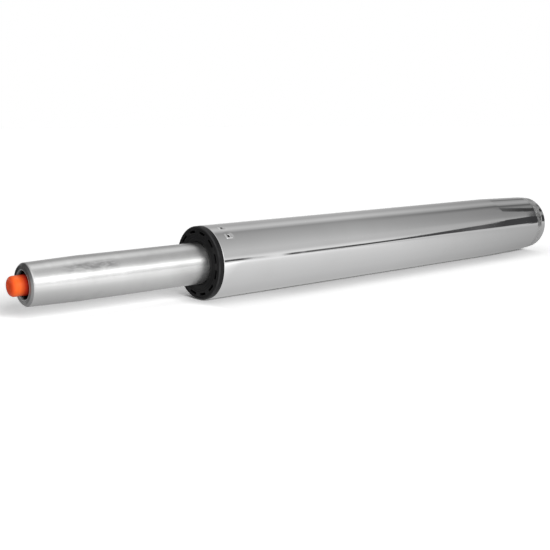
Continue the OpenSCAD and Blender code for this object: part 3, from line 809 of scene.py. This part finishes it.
def on_slot_rim(s, r, angle):
    """Whether an edge lies on the rim of a slot."""
    if s < FLANGE_TOP - 0.01 or not SLOT_IN - SLACK < r < SLOT_OUT + SLACK:
        return False
    along_arc = abs(r - SLOT_IN) < SLACK or abs(r - SLOT_OUT) < SLACK
    return in_slot(angle, 0.05) and (along_arc or not in_slot(angle, -0.05))


sunk = pick(sleeve, on_slot)
pull(SLOT_DEPTH, 0, 0)
pick(sleeve, on_slot_rim, "EDGE")
bpy.ops.mesh.bevel(offset=SLOT_EDGE * MM, segments=2, affect="EDGES")
hands_free()
print("slots:", sunk, "faces sunk")

# %% [markdown]
# The fins are bars that run between the lands. In each row one bar gets softened outer edges,
# is copied round the axis and joined to the sleeve.

# %% Add the fins
FIN_T, FIN_DEPTH, FIN_MIDDLE = 1.8, 6.0, 19.95
FIN_EDGE = 0.3

fins = []
for low, high in ((273.5, 310.5), (313.5, 350.5)):
    hands_free()
    bpy.ops.mesh.primitive_cube_add(size=1, location=(-(low + high) / 2 * MM, 0, FIN_MIDDLE * MM))
    fin = bpy.context.object
    fin.dimensions = ((high - low) * MM, FIN_T * MM, FIN_DEPTH * MM)
    bpy.ops.object.transform_apply(location=True, rotation=False, scale=True)
    pick(fin, lambda s, r, angle: r > 22.9 and abs(angle) > 1, "EDGE")
    bpy.ops.mesh.bevel(offset=FIN_EDGE * MM, segments=2, affect="EDGES")
    fins += turned_copies(fin, [360 * k / SLOT_COUNT for k in range(SLOT_COUNT)])
join_to(sleeve, fins)
close_up(sleeve)

# %% [markdown]
# ## The pressure tube
#
# The gas spring's tube is 28 mm across and ground over its whole length, because it runs in
# the sleeve. Its last 35 mm taper into the socket of the seat. There the end is rolled in
# over the valve: a chamfer, a faced-off ring that is slightly dished, and a small raised rim
# round the mouth, which is the bright line round the black gap in the photograph.

# %% Spin the pressure tube
TUBE_R, TUBE_BORE = 14.0, 12.0
TUBE_FOOT, FOOT_T, FOOT_BORE = 28.36, 2.0, 9.0
TIP = 494.5
TAPER_START = 459.5
VALVE_TOP = 492.0
TIP_R = TUBE_R - 35 * TAPER
MOUTH_R = 8.85

tube_line = [(TUBE_FOOT, FOOT_BORE, 0.3), (TUBE_FOOT, TUBE_R, 1.0)]
tube_line += [(s, TUBE_R) for s in (60, 300, TAPER_START - 3, TAPER_START - 1)]
tube_line += [(TAPER_START + 0.2, TUBE_R - 0.012)]
tube_line += [(s, TUBE_R - (s - TAPER_START) * TAPER) for s in (461.5, 464.5, 475, 486, 490)]
tube_line += [(TIP - 1.7, TIP_R + 1.7 * TAPER, 1.5), (TIP, TIP_R - 1.6, 0.9),
              (TIP - 0.35, 9.6, 0.15), (TIP - 0.2, 9.3, 0.12), (TIP - 0.2, MOUTH_R, 0.2),
              (VALVE_TOP, MOUTH_R), (VALVE_TOP, TUBE_BORE), (TUBE_FOOT + FOOT_T, TUBE_BORE),
              (TUBE_FOOT + FOOT_T, FOOT_BORE)]
tube = spin("pressure_tube_ground", tube_line, 288)
close_up(tube, 40)

# %% [markdown]
# ## The release button
#
# The button is a moulded cap of orange plastic. Its end is nearly flat, with a well rounded
# edge and a small round gate mark in the middle, where the plastic entered the mould.
# Underneath it is hollow, with a boss that grips the valve pin.

# %% Spin the button
BUTTON_R = 6.25
BUTTON_FOOT = 485.5
BUTTON_TOP = 502.8
button_line = [(497.6, 0), (497.6, 2.53), (BUTTON_FOOT, 2.53, 0.2), (BUTTON_FOOT, 3.9, 0.2),
               (498.2, 3.9, 0.3), (498.2, 4.85, 0.3), (BUTTON_FOOT, 4.85, 0.2),
               (BUTTON_FOOT, BUTTON_R, 0.25), (492, BUTTON_R), (499, BUTTON_R),
               (BUTTON_TOP - 0.4, BUTTON_R, 2.6), (BUTTON_TOP, 2.7, 3.0), (BUTTON_TOP, 1.5, 0.12),
               (BUTTON_TOP - 0.18, 1.25, 0.1), (BUTTON_TOP - 0.18, 0)]
button = spin("orange_button", button_line, 128, closed=False)
close_up(button, 50)

# %% [markdown]
# ## The base plate and the washer
#
# From behind, the column is closed by a thick pressed disc. The rod's foot stands through it,
# with a washer and a spring clip. The disc and the washer are spun again with the rolled
# edges of punched parts; the rod and the clip keep the engineering model's shape.

# %% Spin the base plate and the washer
PLATE_FOOT, PLATE_TOP = 5.0, 11.0
PLATE_HOLE = 4.1
plate_line = [(PLATE_FOOT, PLATE_HOLE, 0.4), (PLATE_FOOT, 6.2, 0.2), (PLATE_FOOT + 0.25, 6.6, 0.2),
              (PLATE_FOOT + 0.25, 16.2, 0.3), (PLATE_FOOT, 16.8, 0.3), (PLATE_FOOT, 21.53, 0.5),
              (PLATE_TOP, 21.69, 0.3), (PLATE_TOP, 12.1, 0.2), (PLATE_TOP - 0.8, 12.1),
              (PLATE_TOP - 0.8, PLATE_HOLE, 0.3)]
plate = spin("base_plate_pressed", plate_line, 192)
close_up(plate, 40)

washer_line = [(3.4, 4.03, 0.15), (3.4, 10.0, 0.5), (4.9, 10.0, 0.2), (4.9, 4.03, 0.15)]
washer = spin("end_washer_punched", washer_line, 128)
close_up(washer, 40)

# %% [markdown]
# ## Finishes
#
# Each finish starts as a Principled shader. Its patterns are read from the object's own
# coordinates, so they keep their size in millimetres and their place on the metal. A few
# helpers make what the finishes share: the coordinates round the axis, fine lines left by a
# tool, cloudy patches, and the bump that turns a pattern into relief.

# %% Helpers for finishes
SHADER = "Principled BSDF"


def finish(name, colour, metallic, roughness, **fixed):
    """A new material with one Principled shader and its fixed values, and its network."""
    made = bpy.data.materials.new(name)
    made.use_nodes = True
    inputs = made.node_tree.nodes[SHADER].inputs
    inputs["Base Color"].default_value = (*colour, 1)
    inputs["Metallic"].default_value = metallic
    inputs["Roughness"].default_value = roughness
    for label, value in fixed.items():
        inputs[label.replace("_", " ")].default_value = value
    return made, made.node_tree


def where(tree):
    """The object's own coordinates, then X and the radius in millimetres, and the angle."""
    spot = put(tree, "TexCoord").outputs["Object"]
    parts = put(tree, "SeparateXYZ", {0: spot}).outputs
    aside = put(tree, "CombineXYZ", {"Y": parts["Y"], "Z": parts["Z"]}).outputs[0]
    radius = put(tree, "VectorMath", {0: aside}, operation="LENGTH").outputs["Value"]
    angle = reckon(tree, "ARCTAN2", parts["Y"], parts["Z"])
    return spot, times(tree, parts["X"], 1 / MM), times(tree, radius, 1 / MM), angle


def lines(tree, value, per_unit, detail=3.0):
    """Irregular fine lines across a value, such as the marks of a lathe."""
    made = put(tree, "TexNoise", {"W": value, "Scale": per_unit, "Detail": detail,
                                  "Roughness": 0.6}, noise_dimensions="1D")
    return made.outputs["Fac"]


def clouds(tree, spot, per_metre, detail=4.0):
    """Soft cloudy patches."""
    return put(tree, "TexNoise", {"Vector": spot, "Scale": per_metre, "Detail": detail,
                                  "Roughness": 0.55}).outputs["Fac"]


def wire(made, label, value):
    """Wires a value to an input of a material's shader."""
    made.node_tree.links.new(value, made.node_tree.nodes[SHADER].inputs[label])


def dress(made, tone, rough, height, depth):
    """Gives a material its tone, its roughness and a pattern as relief of that depth."""
    bump = put(made.node_tree, "Bump", {"Height": height, "Distance": depth * MM,
                                        "Strength": 1.0})
    wire(made, "Base Color", tone)
    wire(made, "Roughness", rough)
    wire(made, "Normal", bump.outputs[0])
    print("finish", made.name, "has", len(made.node_tree.nodes), "nodes")

# %% [markdown]
# ### Chrome
#
# Chrome plate is a mirror with a cool, slightly grey tone, and hands leave faint cloudy films
# on it. Two places are no mirror. The cut faces in the stakes' windows, the tongues and the
# tube's inside near its mouth are painted nearly black, as painted shade in the windows. The
# band where the swaging tool closed the column's end is scoured and patchy, and its colour is
# painted reflection: dark on its side and pale above and below. The material finds both by
# their place.

# %% The tone of chrome
chrome, tree = finish("chrome_mirror", (0.75, 0.75, 0.752), 1.0, 0.04)
spot, along, radius, angle = where(tree)
film = ramp(tree, clouds(tree, spot, 26), [(0.45, 0.0), (0.75, 1.0)])
# Painted shade: inside the wall near the mouth, the windows and the tongues are painted nearly
# black.
cut_face_painted_dark = times(tree, spread(tree, radius, 24.62, 24.42), spread(tree, along, -349, -350))
swaged = times(tree, spread(tree, along, -13.2, -12.2), spread(tree, along, -6.2, -7.2))
patchy = clouds(tree, spot, 420, 3.0)
# Painted reflection on the swaged band: dark on its side, pale above and below.
how_high = spread(tree, reckon(tree, "COSINE", angle), -0.15, 0.85)
swaged_painted_reflection = ramp(tree, how_high, [(0.08, 0.66), (0.15, 0.22), (0.53, 0.22), (0.71, 0.72)])
tone = blend(tree, film, (0.755, 0.755, 0.757), (0.73, 0.73, 0.73))
painted_reflection_share = times(tree, swaged, spread(tree, patchy, 0.35, 0.65, 1.0, 0.55))
tone = blend(tree, painted_reflection_share, tone, swaged_painted_reflection)
tone = blend(tree, cut_face_painted_dark, tone, (0.07, 0.07, 0.072))

# %% [markdown]
# Roughness blurs what a mirror shows: a little where films and polishing lines are, more on
# the scoured band and most on the cut faces. Relief bends it. The steel below the chrome is
# a few thousandths of a millimetre uneven, which makes the reflected edges waver, the lip was
# left lumpy by the swaging tool, and the punching of the stakes left the metal near the mouth
# a little wavy.

# %% The roughness and relief of chrome
fine = lines(tree, along, 2.6)
dull = plus(tree, times(tree, film, 0.045), times(tree, fine, 0.03),
            spread(tree, cut_face_painted_dark, 0.0, 1.0, 0.02, 0.45),
            times(tree, swaged, spread(tree, patchy, 0.35, 0.65, 0.16, 0.36)))
on_lip = spread(tree, along, -13.5, -12.0)
by_stakes = spread(tree, along, -346, -356)
waver = plus(tree, clouds(tree, spot, 55, 1.0), times(tree, fine, 0.02),
             times(tree, clouds(tree, spot, 700, 2.0), on_lip, 2.2),
             times(tree, clouds(tree, spot, 260, 1.0), by_stakes, 0.35))
dress(chrome, tone, dull, waver, 0.02)

# %% [markdown]
# ### Ground steel
#
# The pressure tube and the rod are ground between wheels, which leaves very fine rings round
# them. Light spreads across such lines, so along the tube, and that is what anisotropy does:
# the radial tangent runs round the axis, and a quarter turn sets the blur along it. Broad
# bands and cloudy patches are a little rougher than the rest.

# %% The grinding of steel
steel, tree = finish("steel_ground", (0.67, 0.67, 0.668), 1.0, 0.30,
                     Anisotropic=1.0, Anisotropic_Rotation=0.25)
spot, along, radius, angle = where(tree)
round_it = put(tree, "Tangent", direction_type="RADIAL", axis="X")
wire(steel, "Tangent", round_it.outputs[0])
tool_path = plus(tree, along, radius)
rings = lines(tree, tool_path, 3.0, 5.0)
broad = lines(tree, tool_path, 0.16, 2.0)
worn = clouds(tree, spot, 45)
tone = blend(tree, spread(tree, rings, 0.3, 0.7), (0.64, 0.64, 0.638), (0.70, 0.70, 0.698))
tone = blend(tree, spread(tree, worn, 0.55, 0.8), tone, (0.60, 0.60, 0.595))

# %% [markdown]
# A smear of dried oil is drawn out along the tube where the taper begins, on its upper side
# towards the camera. The rolled-in end isn't ground but faced and oiled. Its colour is painted
# reflection, dark above and paler below, with a painted highlight at the rim of the mouth.
# The material finds the end by its place, past the last chamfer.

# %% The smear and the faced end of steel
SMEAR_ANGLE = -53
drawn_out = put(tree, "VectorMath", {0: spot, 1: (0.30, 1.0, 1.0)}, operation="MULTIPLY")
smear = ramp(tree, clouds(tree, drawn_out.outputs[0], 560, 6.0), [(0.38, 0.0), (0.62, 1.0)])
off_smear = reckon(tree, "ABSOLUTE", minus(tree, angle, radians(SMEAR_ANGLE)))
smear = times(tree, smear, spread(tree, along, -434, -443), spread(tree, along, -476, -462),
              spread(tree, off_smear, radians(20), radians(8)), 0.75)
tone = blend(tree, smear, tone, (0.34, 0.34, 0.34))
faced = spread(tree, along, -492.95, -493.15)
# Painted reflection on the faced end, dark above and paler below, and a painted highlight on the
# mouth's rim.
mouth_rim_painted_highlight = spread(tree, radius, 9.35, 9.20)
painted_paler_below = spread(tree, reckon(tree, "COSINE", angle), 0.45, -0.35)
end_painted_reflection = blend(tree, painted_paler_below, (0.17, 0.17, 0.17), (0.46, 0.46, 0.46))
end_painted_reflection = blend(tree, mouth_rim_painted_highlight, end_painted_reflection, (0.75, 0.75, 0.75))
rough = plus(tree, times(tree, broad, 0.08), times(tree, worn, 0.08),
             spread(tree, faced, 0.0, 1.0, 0.15, 0.25))
dress(steel, blend(tree, faced, tone, end_painted_reflection), rough, rings, 0.0015)

# %% [markdown]
# ### Black plastic
#
# The sleeve is glass-filled plastic, nearly black, with a fine satin grain from the mould and
# a few grey scuffs where it was handled. The rounded outer edge of the flange is paler, partly
# rubbed and partly a painted highlight. The grain is relief; the scuffs only lift the colour
# and the roughness, and the pale edge lifts only the colour.

# %% Black plastic
black, tree = finish("plastic_black", (0.010, 0.010, 0.010), 0.0, 0.42,
                     Specular_IOR_Level=0.17)
spot, along, radius, angle = where(tree)
grain = clouds(tree, spot, 2600, 2.0)
scuff = ramp(tree, clouds(tree, spot, 190), [(0.56, 0.0), (0.74, 1.0)])
# The flange's rounded outer edge: rubbed, and partly a painted highlight.
rubbed_edge_and_highlight = times(tree, spread(tree, along, -368.9, -369.3), spread(tree, radius, 24.0, 24.3),
               spread(tree, clouds(tree, spot, 120), 0.35, 0.6, 0.3, 1.0))
tone = blend(tree, scuff, (0.0065, 0.0065, 0.007), (0.015, 0.015, 0.0155))
tone = blend(tree, rubbed_edge_and_highlight, tone, (0.035, 0.035, 0.036))
satin = spread(tree, plus(tree, scuff, grain), 0.2, 1.6, 0.34, 0.56)
dress(black, tone, satin, grain, 0.006)

# %% [markdown]
# ### Orange plastic
#
# The button is bright orange with a satin shine. The mould left faint rings on its end and
# its sides, and the colour is a little deeper in some places than in others. The end is
# painted darker, as painted shade, and the foot, down in the mouth, is painted darker still,
# as painted shade in the well.

# %% Orange plastic
orange, tree = finish("plastic_orange", (0.95, 0.15, 0.02), 0.0, 0.36,
                      Specular_IOR_Level=0.24)
spot, along, radius, angle = where(tree)
moulded = lines(tree, plus(tree, along, radius), 1.4)
cloudy = clouds(tree, spot, 300)
tone = blend(tree, cloudy, (0.98, 0.165, 0.024), (0.92, 0.125, 0.016))
# Painted shade: the end is painted darker, and the foot down in the mouth darker still.
end_painted_shade = spread(tree, along, -500.6, -502.6)
tone = blend(tree, end_painted_shade, tone, (0.84, 0.075, 0.012))
foot_painted_shade = spread(tree, along, -498.6, -494.6)
tone = blend(tree, foot_painted_shade, tone, (0.40, 0.022, 0.010))
satin = spread(tree, plus(tree, moulded, cloudy), 0.6, 1.4, 0.17, 0.30)
dress(orange, tone, satin, moulded, 0.004)

# %% [markdown]
# ### Zinc plate
#
# Small pressed parts are plated with zinc: pale grey with a faint blue and yellow tint that
# changes from patch to patch, and a fine crystalline sparkle.

# %% Zinc plate
zinc, tree = finish("steel_zinc", (0.58, 0.58, 0.57), 1.0, 0.34)
spot, along, radius, angle = where(tree)
crystal = put(tree, "TexVoronoi", {"Vector": spot, "Scale": 900}).outputs["Color"]
patch = clouds(tree, spot, 120)
tint = blend(tree, spread(tree, patch, 0.35, 0.65), (0.52, 0.54, 0.57), (0.62, 0.60, 0.53))
sparkle = put(tree, "SeparateColor", {0: crystal}).outputs[0]
rough = spread(tree, sparkle, 0.0, 1.0, 0.26, 0.42)
tool = lines(tree, plus(tree, along, radius), 1.5)
dress(zinc, tint, rough, plus(tree, tool, times(tree, sparkle, 0.3)), 0.006)

# %% [markdown]
# ### Bearing steel, brass and rubber
#
# The races and balls are hardened steel, polished and oiled. Their cage is stamped brass with
# darker stains of oil. The bumper and the seals are black rubber, dull, with a pale bloom.

# %% Bearing steel, brass and rubber
hard, tree = finish("steel_bearing", (0.62, 0.63, 0.65), 1.0, 0.12)
spot, along, radius, angle = where(tree)
polish = lines(tree, plus(tree, along, radius), 2.2)
oil = clouds(tree, spot, 260)
tone = blend(tree, oil, (0.66, 0.67, 0.69), (0.55, 0.54, 0.52))
rough = spread(tree, plus(tree, polish, oil), 0.6, 1.4, 0.07, 0.20)
dress(hard, tone, rough, polish, 0.001)

brass, tree = finish("brass_stamped", (0.72, 0.52, 0.22), 1.0, 0.3)
spot, along, radius, angle = where(tree)
stain = clouds(tree, spot, 320)
tone = blend(tree, spread(tree, stain, 0.4, 0.7), (0.76, 0.56, 0.25), (0.50, 0.33, 0.14))
rough = spread(tree, stain, 0.3, 0.7, 0.22, 0.42)
dress(brass, tone, rough, clouds(tree, spot, 1500), 0.006)

rubber, tree = finish("rubber_black", (0.025, 0.025, 0.026), 0.0, 0.7)
spot, along, radius, angle = where(tree)
bloom = ramp(tree, clouds(tree, spot, 240), [(0.5, 0.0), (0.8, 1.0)])
tone = blend(tree, bloom, (0.022, 0.022, 0.023), (0.06, 0.06, 0.058))
rough = spread(tree, bloom, 0.0, 1.0, 0.58, 0.8)
dress(rubber, tone, rough, clouds(tree, spot, 2400, 2.0), 0.01)

# %% [markdown]
# ### Spring steel, aluminium and the liner
#
# The clip is blued spring steel, dark with a hint of blue and straw. The piston and the rod
# guide are turned aluminium with visible tool marks. The liner is drawn steel, with lines
# along it instead of round it. The valve body is anodised dark.

# %% Spring steel, aluminium and the liner
blued, tree = finish("steel_blued", (0.17, 0.18, 0.21), 1.0, 0.34)
spot, along, radius, angle = where(tree)
heat = clouds(tree, spot, 380)
tone = ramp(tree, heat, [(0.35, (0.10, 0.12, 0.18)), (0.52, (0.16, 0.17, 0.21)),
                         (0.68, (0.25, 0.21, 0.17))])
rough = spread(tree, heat, 0.3, 0.7, 0.28, 0.44)
dress(blued, tone, rough, clouds(tree, spot, 1800), 0.004)

aluminium, tree = finish("aluminium_turned", (0.72, 0.72, 0.71), 1.0, 0.3)
spot, along, radius, angle = where(tree)
tool = lines(tree, plus(tree, along, radius), 1.9, 4.0)
tone = blend(tree, tool, (0.66, 0.66, 0.66), (0.78, 0.78, 0.765))
dress(aluminium, tone, spread(tree, tool, 0.3, 0.7, 0.22, 0.38), tool, 0.008)

liner, tree = finish("steel_drawn", (0.55, 0.55, 0.54), 1.0, 0.32)
spot, along, radius, angle = where(tree)
drawn = lines(tree, angle, 60, 4.0)
tone = blend(tree, drawn, (0.50, 0.50, 0.49), (0.60, 0.60, 0.59))
worn = plus(tree, drawn, clouds(tree, spot, 60))
dress(liner, tone, spread(tree, worn, 0.6, 1.4, 0.24, 0.42), drawn, 0.004)

anodised, tree = finish("aluminium_dark", (0.07, 0.07, 0.075), 0.8, 0.42)
spot, along, radius, angle = where(tree)
tool = lines(tree, plus(tree, along, radius), 1.7, 4.0)
tone = blend(tree, tool, (0.05, 0.05, 0.055), (0.09, 0.09, 0.095))
dress(anodised, tone, spread(tree, tool, 0.3, 0.7, 0.34, 0.5), tool, 0.006)

# %% [markdown]
# ## Put the finishes on
#
# The engineering model names a finish for each piece. The pieces that keep its shape get the
# matching material here, and so do the new ones, which take the finish of the piece they
# stand for and are hung on the body they move with, while that piece is hidden.

# %% Dress the pieces
FINISHES = {
    "chrome_plate": chrome, "zinc_steel": zinc, "black_plastic": black, "bearing_steel": hard,
    "cage_brass": brass, "rubber": rubber, "ground_steel": steel, "spring_steel": blued,
    "aluminium": aluminium, "liner_steel": liner, "dark_aluminium": anodised,
    "orange_plastic": orange}
carries = {part["node"]: part["material_slot"] for part in frame["record"]["subparts"]}
for name, node in nodes.items():
    for slot in node.material_slots:
        slot.material = FINISHES[carries[name]]

NEW_PIECES = ((column, "column", "outer_tube"), (sleeve, "column", "guide_sleeve"),
              (plate, "column", "base_plate"), (washer, "rod", "end_washer"),
              (tube, "seat_tube", "pressure_tube"), (button, "release", "release_button"))
for piece, body, node in NEW_PIECES:
    piece.data.materials.clear()
    piece.data.materials.append(FINISHES[carries[node]])
    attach(piece, body)
    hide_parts(node)
    print(piece.name, "stands for", node)
